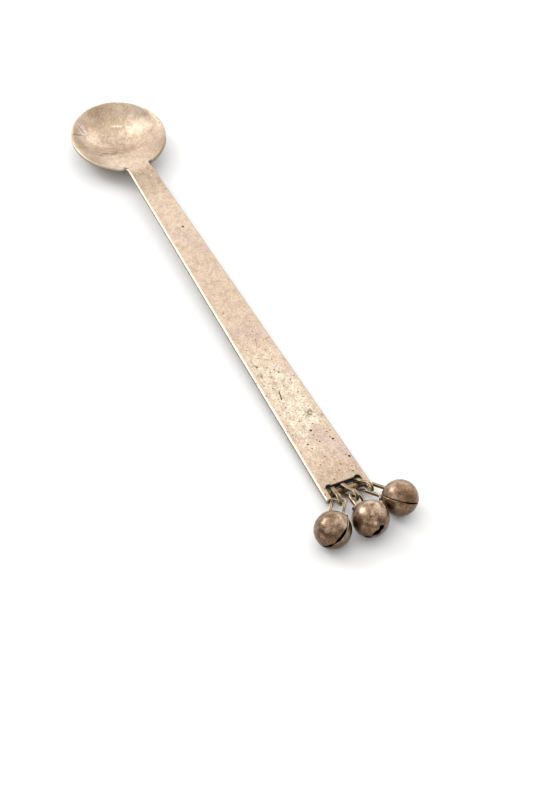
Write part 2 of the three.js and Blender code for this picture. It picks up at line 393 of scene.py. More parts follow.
def spoon_finish():
    material, place = start_finish("tarnished_sheet")
    x, y, z = place.axes()
    flat = place.point(x, y, 0)
    patches = place.noise(0.075, 3.0).step(0.36, 0.66)
    blush = place.vector("ADD", BLUSH_SHIFT).noise(0.10, 3.0).step(0.50, 0.66)
    mottling = place.noise(0.55, 6.0, 0.7)
    flecks = place.noise(2.1, 4.0, 0.7)
    grain = place.noise(2.3, 5.0, 0.75)
    brushed = place.point(x * 0.35, y * 5.0, z * 5.0).noise(1.0, 4.0, 0.6)
    crossed = place.point(x * 3.0 + y * 2.2, y * 0.6 - x * 0.5, z).noise(1.0, 3.0, 0.6)
    clouds = place.noise(0.27, 4.0, 0.6)

    under = attribute(place, "underside")
    top = 1 - under
    aside = y.math("ABSOLUTE")
    filed = attribute(place, "filed")
    # Cream on the left-hand bevel only: a painted highlight where the window is mirrored in the
    # edge.
    left_edge_highlight = filed * y.step(2.0, -2.0)
    # A brown band on the inner part of both bevels and along the right-hand edge is painted shade.
    shaded_edge = filed.step(0.02, 0.3) * filed.step(1.1, 0.5) * x.step(13.0, 20.0)
    shaded_edge = shaded_edge.most(filed * y.step(-2.0, 2.0))
    # A lighter zone near the handle's end: partly rubbed wear and partly a painted sheen of the
    # lamps.
    rubbed_and_sheen = band(x, *RUBBED_SHEEN_ZONE) * aside.step(5.2, 2.8) * place.noise(0.16, 2.0).step(0.30, 0.52)
    speckled = x.step(*SPECKLED_ZONE, 0.25, 1.0)
    pits = spots(flat, PITS, core=0.4).most(scratches(flat, DARK_SCRATCHES)) * top
    # Painted highlights in the bowl, drawn like scratches.
    glints = scratches(flat, BOWL_GLINTS) * top * flecks.step(0.38, 0.55)
    holes = pinholes(flat, cells=0.55, radius=0.27, share=speckled * 0.36 - 0.07) * top
    smudges = spots(flat, SMUDGES, core=0.3) * flecks.step(0.62, 0.46) * top
    # A darker band past the neck is painted shade where the handle bends into the bowl; the end and
    # the middle are dulled a little.
    neck_shade_and_dulling = band(x, *NECK_SHADE_ZONE) * 0.52 + x.step(*END_ZONE) * 0.22 + band(x, *MIDDLE_ZONE) * 0.06
    in_bowl = x.step(16.0, 9.0)
    # The bowl's far wall is painted darker: painted shade where it mirrors the darker side of the
    # room.
    far_wall_shade = x.step(-4.0, -8.5) * aside.step(7.5, 3.0) * top
    # The bowl's side walls are painted browner as painted shade, and the underside as painted shade
    # together with tarnish.
    wall_and_underside_shade = y.step(3.0, 9.0) * 0.42 + y.step(-6.0, -10.5) * 0.55 + x.step(2.0, 8.0) * 0.40
    wall_and_underside_shade = in_bowl * wall_and_underside_shade * x.step(-9.0, -3.0, 0.2, 1.0) + under.step(0.05, 0.6) * 0.62

    colour = painted(
        WARM_METAL,
        (patches, PALE_METAL),
        (blush * 0.7, PINK_METAL),
        (in_bowl * clouds.step(0.40, 0.62) * 0.32, CREAM_METAL),
        (far_wall_shade * 0.75, FAR_WALL_SHADE_METAL),
        (wall_and_underside_shade, SHADE_AND_GRAIN_BROWN),
        (mottling.step(0.56, 0.36) * 0.34 + neck_shade_and_dulling, SHADE_AND_GRAIN_BROWN),
        (rubbed_and_sheen * (mottling * 0.3 + flecks * 0.7).step(0.42, 0.62), CREAM_METAL),
        (grain.step(0.52, 0.32) * (0.46 + speckled * 0.24), SHADE_AND_GRAIN_BROWN),
        (grain.step(0.52, 0.68) * 0.5, CREAM_METAL),
        (crossed.step(0.40, 0.24) * 0.5, SHADE_AND_GRAIN_BROWN),
        (brushed.step(0.46, 0.30) * 0.22, SHADE_AND_GRAIN_BROWN),
        ((left_edge_highlight * 0.9).most(glints), CREAM_METAL),
        (shaded_edge * 0.75, SHADE_AND_GRAIN_BROWN),
        (smudges * 0.85, SMUDGE_BROWN),
        # Black in pits and pinholes, and painted shade in the recesses of the slot and the notches.
        (pits.most(holes * 0.8).most(attribute(place, "recess_shade") * 0.85), PIT_AND_SHADE_BLACK),
    )

    roughness = 0.27 + mottling * 0.12 + brushed * 0.10 + pits * 0.3
    roughness = roughness - (rubbed_and_sheen + left_edge_highlight * 3.0) * 0.04 + in_bowl * x.step(-8.0, -2.0) * 0.08
    height = mottling * 0.35 + grain * 0.2 + brushed * 0.22 + crossed * 0.12 - pits * 2.0 - holes
    end_finish(colour, roughness, height, bump_depth=0.03)
    return material


# %% [markdown]
# ### Patina of the bells
#
# The bells are pressed from thinner, browner metal. Patina stays in the seam and along the slit,
# and fingers rub it off the rest; the rubbed crowns are partly a painted highlight, and two painted
# highlights sit where the lamps are mirrored on the middle bell. Towards the bottom the bells are
# darker, partly patina and partly painted shade where they mirror the shaded table. The mesh itself
# tells the shader where its edge is: the tree that makes a cup stores how close each point is to
# the seam.

# %% Finish of the bells
PATINA_AND_SHADE_DARK = (0.052, 0.029, 0.016)
PATINA_BROWN = (0.18, 0.106, 0.06)
PATINA_BRIGHT = (0.74, 0.575, 0.43)
BELL_HIGHLIGHTS = ((155.1, -2.5, 8.6, 2.3), (158.8, -0.8, 7.1, 0.9))


def bell_finish():
    material, place = start_finish("bronze_patina")
    x, y, z = place.axes()
    clouds = place.noise(0.22, 4.0, 0.6)
    mottling = place.noise(0.9, 5.0, 0.68)
    specks = place.noise(3.6, 3.0, 0.65)
    scuffs = place.point(x * 1.2, y * 4.5, z * 1.2).noise(1.0, 3.0, 0.6)
    seam = attribute(place, "seam")

    rubbed_and_sheen = (clouds * 0.65 + mottling * 0.35).step(0.42, 0.64) * (1 - seam * 0.6)
    # Rubbed patches, lighter towards the crown: partly wear and partly a painted highlight.
    rubbed_and_sheen = rubbed_and_sheen * z.step(3.5, 7.5, 0.15, 1.0) * y.step(3.0, 8.0, 1.0, 0.4)
    # Two painted highlights on the middle bell, where the window and the front lamp are mirrored.
    rubbed_and_sheen = rubbed_and_sheen.most(spots(place, BELL_HIGHLIGHTS, core=0.2) * mottling.step(0.30, 0.60, 0.25, 0.6))
    colour = painted(
        PATINA_BROWN,
        (mottling.step(0.60, 0.36) * 0.5, PATINA_AND_SHADE_DARK),
        (rubbed_and_sheen * 0.7, PATINA_BRIGHT),
        (specks.step(0.50, 0.34) * 0.3, PATINA_AND_SHADE_DARK),
        (specks.step(0.56, 0.70) * 0.2, PATINA_BRIGHT),
        (scuffs.step(0.60, 0.72) * 0.3, PATINA_BRIGHT),
        (seam.step(0.55, 0.95) * 0.75, PATINA_AND_SHADE_DARK),
        # Darker towards the bottom, partly patina and partly painted shade where the bells mirror
        # the shaded table; the left bell a little darker too.
        (z.step(6.0, 1.5) * 0.55 + y.step(-4.0, -8.0) * 0.16, PATINA_AND_SHADE_DARK),
    )

    roughness = 0.16 + mottling * 0.14 + seam * 0.12 - rubbed_and_sheen * 0.04
    height = mottling * 0.6 + specks * 0.3 + scuffs * 0.25
    end_finish(colour, roughness, height, bump_depth=0.045)
    return material


# %% [markdown]
# ### Bar, wires and pellets
#
# The bar and the flat wires are a yellower metal, gone olive. Their corners are pale, partly rubbed
# bright and partly a painted highlight along the edges, and the tree that sweeps a wire stores how
# near each point is to a corner of its section. The pellets are plain dull shot, glimpsed through
# the slits.

# %% Finishes of the small pieces
OLIVE_DARK = (0.065, 0.038, 0.018)
OLIVE_METAL = (0.25, 0.17, 0.088)
OLIVE_RUBBED_SHEEN = (0.9, 0.77, 0.57)
SHOT_GREY = (0.22, 0.20, 0.18)
SHOT_DARK = (0.07, 0.06, 0.055)


def olive_finish(name, corner_sheen):
    material, place = start_finish(name)
    clouds = place.noise(0.55, 4.0, 0.6)
    specks = place.noise(3.4, 4.0, 0.6)
    corner = attribute(place, "corner")
    colour = painted(
        OLIVE_METAL,
        (clouds.step(0.62, 0.38) * 0.75, OLIVE_DARK),
        (specks.step(0.44, 0.30) * 0.45, OLIVE_DARK),
        # Pale corners: partly rubbed bright and partly a painted highlight along the edges.
        (corner.step(0.2, 0.7) * clouds.step(0.25, 0.5) * corner_sheen, OLIVE_RUBBED_SHEEN),
    )
    roughness = 0.27 + clouds * 0.16 - corner * 0.08
    end_finish(colour, roughness, clouds * 0.5 + specks * 0.3, bump_depth=0.03)
    return material


def shot_finish():
    material, place = start_finish("dull_shot")
    clouds = place.noise(1.1, 4.0, 0.6)
    colour = painted(SHOT_DARK, (clouds.step(0.35, 0.65), SHOT_GREY))
    end_finish(colour, 0.45 + clouds * 0.15, clouds, bump_depth=0.04)
    return material


spoon_metal = spoon_finish()
bell_metal = bell_finish()
bar_metal = olive_finish("olive_bar", corner_sheen=0.5)
wire_metal = olive_finish("olive_wire", corner_sheen=0.9)
shot_metal = shot_finish()
finishes = (spoon_metal, bell_metal, bar_metal, wire_metal, shot_metal)
print("finishes:", [material.name for material in finishes])

# %% [markdown]
# ## The blank
#
# A smith cuts the spoon's outline from flat sheet first and dishes the bowl afterwards, and the
# mesh is made in the same order. The outline is a handful of lines and curves: the bowl's ellipse,
# small rounded notches at the neck, straight edges and the slot with its two drilled corners. The
# bowl is a hair smaller than that of the mechanical model, so that the looks stay inside it.

# %% Sizes of the spoon
BOWL_LENGTH = 28.52
BOWL_WIDTH = 25.92
BOWL_DEPTH = 5.4
RIM_WIDTH = 0.5
RIM_EDGE = 1.3
DISH_POWER = 2.2
SHEET = 1.5
NECK_START = 12.1
NECK_WIDTH = 6.5
HANDLE_REACH = 144.0
END_WIDTH = 12.1
SLOT_WIDTH = 9.0
SLOT_DEPTH = 3.9
HOLE_RADIUS = 0.75
HOLE_BITE = 0.45
NOTCH_CUT = 1.0
TIP_CUT = 0.5
ARM_CUT = 0.35
RIM_BEYOND = 1.3
RIM_POINTS = 260
HOLE_POINTS = 16

stretch = BOWL_LENGTH / BOWL_WIDTH
rim_radius = BOWL_WIDTH / 2
rim_reach = stretch * rim_radius
slot_back = HANDLE_REACH - SLOT_DEPTH

# %% [markdown]
# Only the side with negative Y is drawn. Its mirror image gives the other side, and the bowl's rim
# closes the ring.


# %% Outline of the blank
def line(start, end, spacing):
    count = max(1, round((Vector(end) - Vector(start)).length / spacing))
    shares = np.arange(count) / count
    return np.outer(1 - shares, start) + np.outer(shares, end)


def corner(before, at, after, cut, count=7):
    """A short curve that leaves and meets the two edges smoothly."""
    at = np.array(at)
    first = at + cut * np.array((Vector(before) - Vector(at)).normalized())
    last = at + cut * np.array((Vector(after) - Vector(at)).normalized())
    t = (np.arange(count) / count)[:, None]
    return (1 - t) ** 2 * first + 2 * t * (1 - t) * at + t ** 2 * last, first, last


def half_outline():
    """From the notch at the neck to the middle of the slot's back."""
    flare = (END_WIDTH - NECK_WIDTH) / 2 / (HANDLE_REACH - NECK_START)
    neck_angle = asin((NECK_WIDTH / 2 + (rim_reach - NECK_START) * flare) / rim_radius)
    notch = (rim_reach * cos(neck_angle), -rim_radius * sin(neck_angle))
    beyond = neck_angle * RIM_BEYOND
    on_rim = (rim_reach * cos(beyond), -rim_radius * sin(beyond))
    tip = (HANDLE_REACH, -END_WIDTH / 2)
    arm = (HANDLE_REACH, -SLOT_WIDTH / 2)
    hole = (slot_back + HOLE_RADIUS - HOLE_BITE, HOLE_RADIUS - SLOT_WIDTH / 2)
    meets = 90 + np.degrees(asin((HOLE_RADIUS - HOLE_BITE) / HOLE_RADIUS))
    angles = np.radians(np.linspace(270, meets, HOLE_POINTS, endpoint=False))
    hole_curve = np.array(hole) + HOLE_RADIUS * np.stack([np.cos(angles), np.sin(angles)], 1)
    hole_end = (slot_back, hole[1] + sqrt(HOLE_RADIUS ** 2 - (HOLE_RADIUS - HOLE_BITE) ** 2))

    notch_curve, notch_first, notch_last = corner(on_rim, notch, tip, NOTCH_CUT)
    tip_curve, tip_first, tip_last = corner(notch, tip, arm, TIP_CUT)
    arm_curve, arm_first, arm_last = corner(tip, arm, (hole[0], arm[1]), ARM_CUT)
    outer = [notch_curve, line(notch_last, tip_first, spacing=0.55), tip_curve]
    slot = [
        line(tip_last, arm_first, spacing=0.2), arm_curve,
        line(arm_last, (hole[0], arm[1]), spacing=0.25), hole_curve,
        line(hole_end, (slot_back, 0), spacing=0.3),
    ]
    rim_start = atan2(-notch_first[1] / rim_radius, notch_first[0] / rim_reach)
    return np.concatenate(outer), np.concatenate(slot), rim_start


def outline():
    """The whole outline, and which of its points belong to the slot."""
    outer, slot, rim_start = half_outline()
    half = np.concatenate([outer, slot])
    angles = np.linspace(rim_start, 2 * pi - rim_start, RIM_POINTS + 2)[1:-1]
    rim = np.stack([rim_reach * np.cos(angles), rim_radius * np.sin(angles)], 1)
    middle = np.array([[slot_back, 0.0]])
    whole = np.concatenate([half, middle, half[::-1] * (1, -1), rim])
    of_slot = np.zeros(len(whole), bool)
    of_slot[len(outer):len(half) + len(slot) + 1] = True
    return whole, of_slot


edge, of_slot = outline()
print("outline of", len(edge), "points, of which", of_slot.sum(), "round the slot")

# %% [markdown]
# ### From outline to slab
#
# The slab is two copies of one flat net of triangles, top and bottom, joined by a wall. A Delaunay
# net accepts any outline. Extra rings of points just inside it let the edges be rounded over, as a
# file and years of use leave them. Each point also carries three marks: whether it is on the
# underside, how far the file lowered it and how much painted shade it gets in the recesses round
# the slot and in the notches.

# %% Slab with filed edges
NET_SPACING = 0.55
RING_INSETS = (0.03, 0.08, 0.15, 0.26, 0.38, 0.50, 0.64)
RING_KEEP = 0.85
GRID_GAP = 0.55
HANDLE_BEVEL = (0.42, 0.245)
BOWL_BEVEL = (0.24, 0.16)
SLOT_BEVEL = (0.16, 0.12)
BEVEL_BLEND = 2.0
BEVEL_CURVE = 1.1
# How far the painted shade reaches round the slot, and where it sits in the notches.
SLOT_SHADE = 0.22
NOTCH_SHADE = (13.7, 3.4, 1.1)
NOTCH_BAND = 0.45


def edge_distance(points, chosen):
    """How far each point lies from the chosen stretches of the outline."""
    best = np.full(len(points), np.inf)
    for start, end in zip(edge[chosen], np.roll(edge, -1, axis=0)[chosen]):
        run = end - start
        share = np.clip(((points - start) @ run) / (run @ run), 0, 1)
        best = np.minimum(best, np.linalg.norm(points - start - share[:, None] * run, axis=1))
    return best


def bevel_drop(distance, width, drop):
    """How much lower the filed edge is: a slanted flat with a soft inner end."""
    return drop * (1 - np.clip(distance / width, 0, 1)) ** BEVEL_CURVE


def inside(points):
    """Counts how often a ray along X crosses the outline."""
    crossings = np.zeros(len(points), int)
    for (x0, y0), (x1, y1) in zip(edge, np.roll(edge, -1, axis=0)):
        spans = (y0 > points[:, 1]) != (y1 > points[:, 1])
        if spans.any():
            reach = x0 + (points[:, 1] - y0) * (x1 - x0) / (y1 - y0 if y1 != y0 else 1e-12)
            crossings += spans & (points[:, 0] < reach)
    return crossings % 2 == 1


def net_points():
    tangent = np.roll(edge, -1, axis=0) - np.roll(edge, 1, axis=0)
    inward = np.stack([-tangent[:, 1], tangent[:, 0]], 1) / np.linalg.norm(tangent, axis=1)[:, None]
    rings = [edge + inset * inward for inset in RING_INSETS]
    rows = np.arange(-rim_radius, rim_radius, NET_SPACING * sqrt(3) / 2)
    columns = np.arange(-rim_reach, HANDLE_REACH, NET_SPACING)
    grid = []
    for number, y in enumerate(rows):
        shift = (number % 2) * NET_SPACING / 2
        grid.append(np.column_stack([columns + shift, np.full(len(columns), y)]))
    grid = np.concatenate(grid)
    grid = grid[inside(grid)]
    everywhere = np.ones(len(edge), bool)
    grid = grid[edge_distance(grid, everywhere) > RING_INSETS[-1] + NET_SPACING * GRID_GAP]
    rings = np.concatenate(rings)
    keep = edge_distance(rings, everywhere) > np.repeat(RING_INSETS, len(edge)) * RING_KEEP
    return np.concatenate([edge, rings[keep & inside(rings)], grid])


def recess_shading(points, from_edge, from_slot):
    """Painted shade lies round the slot and in the notches, where they are recessed."""
    notch_x, notch_y, reach = NOTCH_SHADE
    from_notch = np.hypot(points[:, 0] - notch_x, np.abs(points[:, 1]) - notch_y)
    in_notch = (1.1 - from_notch / reach) * (from_edge < NOTCH_BAND)
    return np.clip(np.maximum(1.3 - from_slot / SLOT_SHADE, in_notch), 0, 1)


def store(mesh, name, values):
    made = mesh.attributes.new(name, "FLOAT", "POINT")
    made.data.foreach_set("value", values)


def slab_mesh():
    flat = [Vector(point) for point in net_points()]
    count = len(edge)
    ring = [(i, (i + 1) % count) for i in range(count)]
    net = delaunay_2d_cdt(flat, ring, [list(range(count))], 1, 1e-7)
    points = np.array([tuple(point) for point in net[0]])
    triangles = [tuple(face) for face in net[2]]
    from_edge = edge_distance(points, ~of_slot)
    from_slot = edge_distance(points, of_slot)
    handle_share = np.clip((points[:, 0] - NECK_START) / BEVEL_BLEND, 0, 1)
    outer_drop = bevel_drop(from_edge, *HANDLE_BEVEL) * handle_share
    outer_drop += bevel_drop(from_edge, *BOWL_BEVEL) * (1 - handle_share)
    drop = np.maximum(outer_drop, bevel_drop(from_slot, *SLOT_BEVEL))
    total = len(points)
    top = np.column_stack([points, -drop])
    bottom = np.column_stack([points, drop - SHEET])
    sides = {}
    for triangle in triangles:
        for pair in zip(triangle, triangle[1:] + triangle[:1]):
            sides[pair] = True
    rim = [pair for pair in sides if pair[::-1] not in sides]
    faces = triangles + [tuple(total + v for v in face[::-1]) for face in triangles]
    faces += [(b, a, a + total, b + total) for a, b in rim]
    mesh = mesh_from(np.concatenate([top, bottom]), faces)
    store(mesh, "underside", np.repeat([0.0, 1.0], total))
    store(mesh, "filed", np.append(outer_drop / HANDLE_BEVEL[1], np.zeros(total)))
    store(mesh, "recess_shade", np.tile(recess_shading(points, from_edge, from_slot), 2))
    return mesh


slab = slab_mesh()
print("slab of", len(slab.polygons), "faces")

# %% [markdown]
# ### Pressing the bowl
#
# Dishing follows a rule, so a Geometry Nodes tree does it. For each point the tree finds how far
# out it lies in the bowl, lowers the top face by a power curve and the underside by a deeper one,
# and leaves the handle flat. The deepest spot is pushed from the middle towards the tip, so the far
# wall is steeper than the long slope up to the neck. Soft noise adds the small unevenness of hand
# work, and the last step tilts the spoon onto the table and flattens the spot that it stands on.

# %% Tree that presses the bowl
LONG_SLOPE = (-4 * MM, 8 * MM)
NECK_ALONG = (6 * MM, 13 * MM)
NECK_ACROSS = (9 * MM, 3 * MM)
SHANK_FADE = (3.5 * MM, 2 * MM)
SHANK_MARGIN = (0.7 * MM, 0.2 * MM)
SHANK_BLEND = 0.3 * MM
BELLY_PUSH = 0.5
SWAY_SHIFT = (40.0, 7.0, 3.0)
BLOWS_ALONG = (14 * MM, 7 * MM)


def press_tree():
    wire, sizes = start_tree("press_bowl", {
        "Blank": GEOMETRY, "Depth": FLOAT, "Radius": FLOAT, "Rim": FLOAT, "Stretch": FLOAT,
        "Power": FLOAT, "Sheet": FLOAT, "Rim edge": FLOAT, "Lip softness": FLOAT,
        "Neck softness": FLOAT, "Push": FLOAT, "Unevenness": FLOAT, "Hammering": FLOAT,
        "Rise": FLOAT, "Slope": FLOAT, "Metal": MATERIAL,
    })
    place = wire.node("GeometryNodeInputPosition")
    x, y, z = place.axes()
    number = {"data_type": "FLOAT"}
    through = wire.node("GeometryNodeInputNamedAttribute", number, {"Name": "underside"})
    across = y.math("ABSOLUTE")

    def from_middle(shift):
        spot = place.point(x / sizes["Stretch"] + shift, y, 0)
        return spot.vector("LENGTH", output="Value")

    share = (from_middle(0.0) / sizes["Radius"]).least(1.0)
    push = sizes["Push"] * (1 - share * share)
    deep = from_middle(push)
    power = sizes["Power"] - x.step(*LONG_SLOPE)
    hollow = ((deep / (sizes["Radius"] - sizes["Rim"])) ** power - 1) * sizes["Depth"]
    neck = x.step(*NECK_ALONG) * across.step(*NECK_ACROSS)
    soft = sizes["Lip softness"] + neck * sizes["Neck softness"]
    top = hollow.math("SMOOTH_MIN", 0.0, soft)
    sag = hollow.least(0.0) - top

    share = (from_middle(push * BELLY_PUSH) / sizes["Radius"]).least(1.0) ** sizes["Power"]
    back = (sizes["Depth"] + sizes["Sheet"] - sizes["Rim edge"]) * (share - 1) - sizes["Rim edge"]
    side = NECK_WIDTH / 2 * MM
    tip = BOWL_LENGTH / 2 * MM
    beside = across.step(side + SHANK_MARGIN[0], side - SHANK_MARGIN[1])
    shank = x.step(tip - SHANK_FADE[0], tip - SHANK_FADE[1]) * beside
    shank = shank.most(x.step(tip - SHANK_BLEND, tip + SHANK_BLEND))
    under = back + (back.least(sizes["Sheet"] * -1) - back) * shank - sag

    waves = place.scaled(1 / MM)
    bend = (waves.noise(0.085, 2.0) - 0.5) * sizes["Unevenness"]
    shifted = waves.vector("ADD", SWAY_SHIFT)
    sway = (shifted.noise(0.06, 2.0) - 0.5) * sizes["Unevenness"]
    blows = (waves.noise(0.3, 1.0) - 0.5) * sizes["Hammering"] * x.step(*BLOWS_ALONG, 0.25, 1.0)
    bevel = z + through * sizes["Sheet"]
    height = top + (under - top) * through + bevel + bend + blows
    shape = moved(sizes["Blank"], place.point(x, y + sway, height))
    tilted = {
        "Geometry": shape, "Translation": wire.point(0, 0, sizes["Rise"]),
        "Rotation": wire.point(0, sizes["Slope"], 0),
    }
    shape = wire.node("GeometryNodeTransform", None, tilted)
    x, y, z = wire.node("GeometryNodeInputPosition").axes()
    shape = moved(shape, wire.point(x, y, z.most(0.0)))
    return end_tree(shape, sizes["Metal"])


spoon_body = grown("sheet_spoon", slab, press_tree(), {
    "Depth": BOWL_DEPTH * MM, "Radius": rim_radius * MM, "Rim": RIM_WIDTH * MM, "Stretch": stretch,
    "Power": DISH_POWER, "Sheet": SHEET * MM, "Rim edge": RIM_EDGE * MM, "Lip softness": 0.6 * MM,
    "Neck softness": 2.8 * MM, "Push": 3.6 * MM, "Unevenness": 0.14 * MM, "Hammering": 0.14 * MM,
    "Rise": rim_height * MM, "Slope": slope, "Metal": spoon_metal,
})

# %% [markdown]
# ## The bar
#
# A round rod is soldered between the two arms of the slot. Solder creeps along the rod and leaves
# a small fillet at each end, so the rod is built as rings that swell towards the arms. The rings
# are a little flat, as if the rod had been tapped down.

# %% Cross bar
BAR_RADIUS = 0.75
BAR_FLATNESS = 0.95
BAR_TO_SLOT_BACK = 1.95
FILLET = 0.5
FILLET_REACH = 0.35
BAR_SIDES = 40
BAR_RINGS = 90
BAR_DENTS = ((0.025, 2.1, 0), (0.02, 4.7, 1))


def cross_bar():
    across = np.linspace(-SLOT_WIDTH / 2, SLOT_WIDTH / 2, BAR_RINGS)
    angles = np.linspace(0, 2 * pi, BAR_SIDES, endpoint=False)
    swell = FILLET * np.exp(-(SLOT_WIDTH / 2 - np.abs(across)) / FILLET_REACH)
    dents = sum(depth * np.sin(across * rate + phase) for depth, rate, phase in BAR_DENTS)
    points = []
    for y, fat, dent in zip(across, swell, dents):
        x = slot_back + BAR_TO_SLOT_BACK + (BAR_RADIUS + fat + dent) * np.cos(angles)
        z = BAR_RADIUS * BAR_FLATNESS * np.sin(angles) - SHEET / 2
        points.append(np.stack([x, np.full(BAR_SIDES, y), z], 1))
    faces = []
    for ring in range(BAR_RINGS - 1):
        for side in range(BAR_SIDES):
            a = ring * BAR_SIDES + side
            b = ring * BAR_SIDES + (side + 1) % BAR_SIDES
            faces.append((a, b, b + BAR_SIDES, a + BAR_SIDES))
    faces.append(tuple(range(BAR_SIDES)))
    faces.append(tuple(range((BAR_RINGS - 1) * BAR_SIDES, BAR_RINGS * BAR_SIDES)))
    mesh = mesh_from(np.concatenate(points), faces)
    mesh.transform(Matrix.Scale(MM, 4) @ spoon_to_table @ Matrix.Scale(1 / MM, 4))
    mesh.materials.append(bar_metal)
    return mesh_piece("soldered_bar", mesh)


bar = cross_bar()

# %% [markdown]
# ## Flat wire
#
# Links and loops are bent from flat wire, so one tree sweeps a rounded strip along any path. The
# path is a plain curve in the piece's own plane, and the tree is told which way that plane faces,
# so the strip never twists.


# %% Tree that sweeps flat wire
def wire_tree():
    wire, sizes = start_tree("flat_wire", {
        "Path": GEOMETRY, "Width": FLOAT, "Thickness": FLOAT, "Rounding": FLOAT,
        "Facing": VECTOR, "Metal": MATERIAL,
    })
    sides = {0: sizes["Width"], 1: sizes["Thickness"]}
    strip = wire.node("GeometryNodeCurvePrimitiveQuadrilateral", None, sides)
    fillet = {"Curve": strip, "Count": 5, "Radius": sizes["Rounding"], "Limit Radius": True}
    strip = wire.node("GeometryNodeFilletCurve", {"mode": "POLY"}, fillet)
    spacing = {"Curve": strip, "Length": sizes["Rounding"] / 3}
    strip = wire.node("GeometryNodeResampleCurve", {"mode": "LENGTH"}, spacing)
    x, y, _ = wire.node("GeometryNodeInputPosition").axes()
    across = x.math("ABSOLUTE") / sizes["Width"] * 2
    through = y.math("ABSOLUTE") / sizes["Thickness"] * 2
    strip = marked(strip, "corner", across ** 3 * through ** 2)
    turned = {"Curve": sizes["Path"], "Normal": sizes["Facing"]}
    path = wire.node("GeometryNodeSetCurveNormal", {"mode": "FREE"}, turned)
    swept = {"Curve": path, "Profile Curve": strip, "Fill Caps": True}
    return end_tree(wire.node("GeometryNodeCurveToMesh", None, swept), sizes["Metal"])


WIRE_WIDTH = 0.9
WIRE_THICKNESS = 0.45
WIRE_ROUNDING = 0.13
flat_wire = wire_tree()


def bent_wire(name, path_mm, thickness, thickness_shares, facing):
    curve = bpy.data.curves.new(name, "CURVE")
    curve.dimensions = "3D"
    spline = curve.splines.new("POLY")
    spline.points.add(len(path_mm) - 1)
    for point, place, share in zip(spline.points, path_mm, thickness_shares):
        point.co = (*(Vector(place) * MM), 1.0)
        point.radius = share
    return grown(name, curve, flat_wire, {
        "Width": WIRE_WIDTH * MM, "Thickness": thickness * MM, "Rounding": WIRE_ROUNDING * MM,
        "Facing": facing, "Metal": wire_metal,
    })


# %% [markdown]
# A link is a long ring from the bar to the hinge of its bell. Its sides draw in a little at the
# waist, and its two ends meet in a fine butt joint on the lower side.

# %% Links
BAR_PLAY = 0.35
LINK_SLACK = 0.15
LINK_WAIST = 0.10
BUTT_JOINT = 0.05
BEND_POINTS = 25
STRAIGHT_PARTS = 14


def half_turn(x, start, radius):
    """A half circle round a point on X, clockwise from an angle in degrees."""
    angles = [radians(start - 180 * i / (BEND_POINTS - 1)) for i in range(BEND_POINTS)]
    return [(x + radius * cos(a), radius * sin(a)) for a in angles]


def straight(first, last):
    run = []
    for i in range(1, STRAIGHT_PARTS):
        share = i / STRAIGHT_PARTS
        waist = 1 - LINK_WAIST * sin(pi * share) ** 2
        run.append((first[0] + (last[0] - first[0]) * share, first[1] * waist))
    return run


def link(side):
    start = place_of(f"link_{side}_swing")
    span = place_of(f"bell_{side}_nod") - start
    along = span.normalized()
    rise = atan2(along.z, along.x)
    turn = Matrix.Rotation(-rise, 3, "Y") @ Matrix.Rotation(asin(along.y), 3, "Z")
    bend = BAR_RADIUS + BAR_PLAY + WIRE_THICKNESS / 2
    far = half_turn(span.length, 90, bend)
    near = half_turn(-LINK_SLACK, 270, bend)
    lower = straight(far[-1], near[0])
    joint_at = len(lower) // 2
    ring = lower[joint_at:] + near + straight(near[-1], far[0]) + far + lower[:joint_at]
    gap = (span.length + LINK_SLACK) / STRAIGHT_PARTS - BUTT_JOINT
    ring.append((ring[-1][0] - gap, ring[-1][1]))
    path = [start + turn @ Vector((x, 0, z)) for x, z in ring]
    even = [1.0] * len(path)
    return bent_wire(f"wire_link_{side}", path, WIRE_THICKNESS, even, turn @ Vector((0, 1, 0)))


links = {side: link(side) for side in SIDES}

# %% [markdown]
# A loop is an arch of thicker strap, whose feet splay out over the bell and are hammered thin. One
# half is drawn, and the other is its mirror image.

# %% Loops
LOOP_ROLL = {"left": 10, "middle": -20, "right": -8}
LOOP_HALF = 1.58
LOOP_CORNER = 0.68
FOOT_SPLAY = 36
FOOT_START = 21.5
BELL_RADIUS = 4.58
FOOT_LIFT = 0.12
FOOT_THIN = 0.6
FOOT_PARTS = 8
LEG_GAP = 0.55
LEG_PARTS = 10
CORNER_PARTS = 12
TOP_PARTS = 6
STRAP_THICKNESS = 0.56


def bell_turn(side, roll):
    """The bell's own axes: X from the loop towards the slit, turned about it by the roll."""
    axis = (place_of(f"pellet_{side}_roll") - place_of(f"bell_{side}_nod")).normalized()
    return Euler((radians(roll), -asin(axis.z), atan2(axis.y, axis.x)), "XYZ").to_matrix()


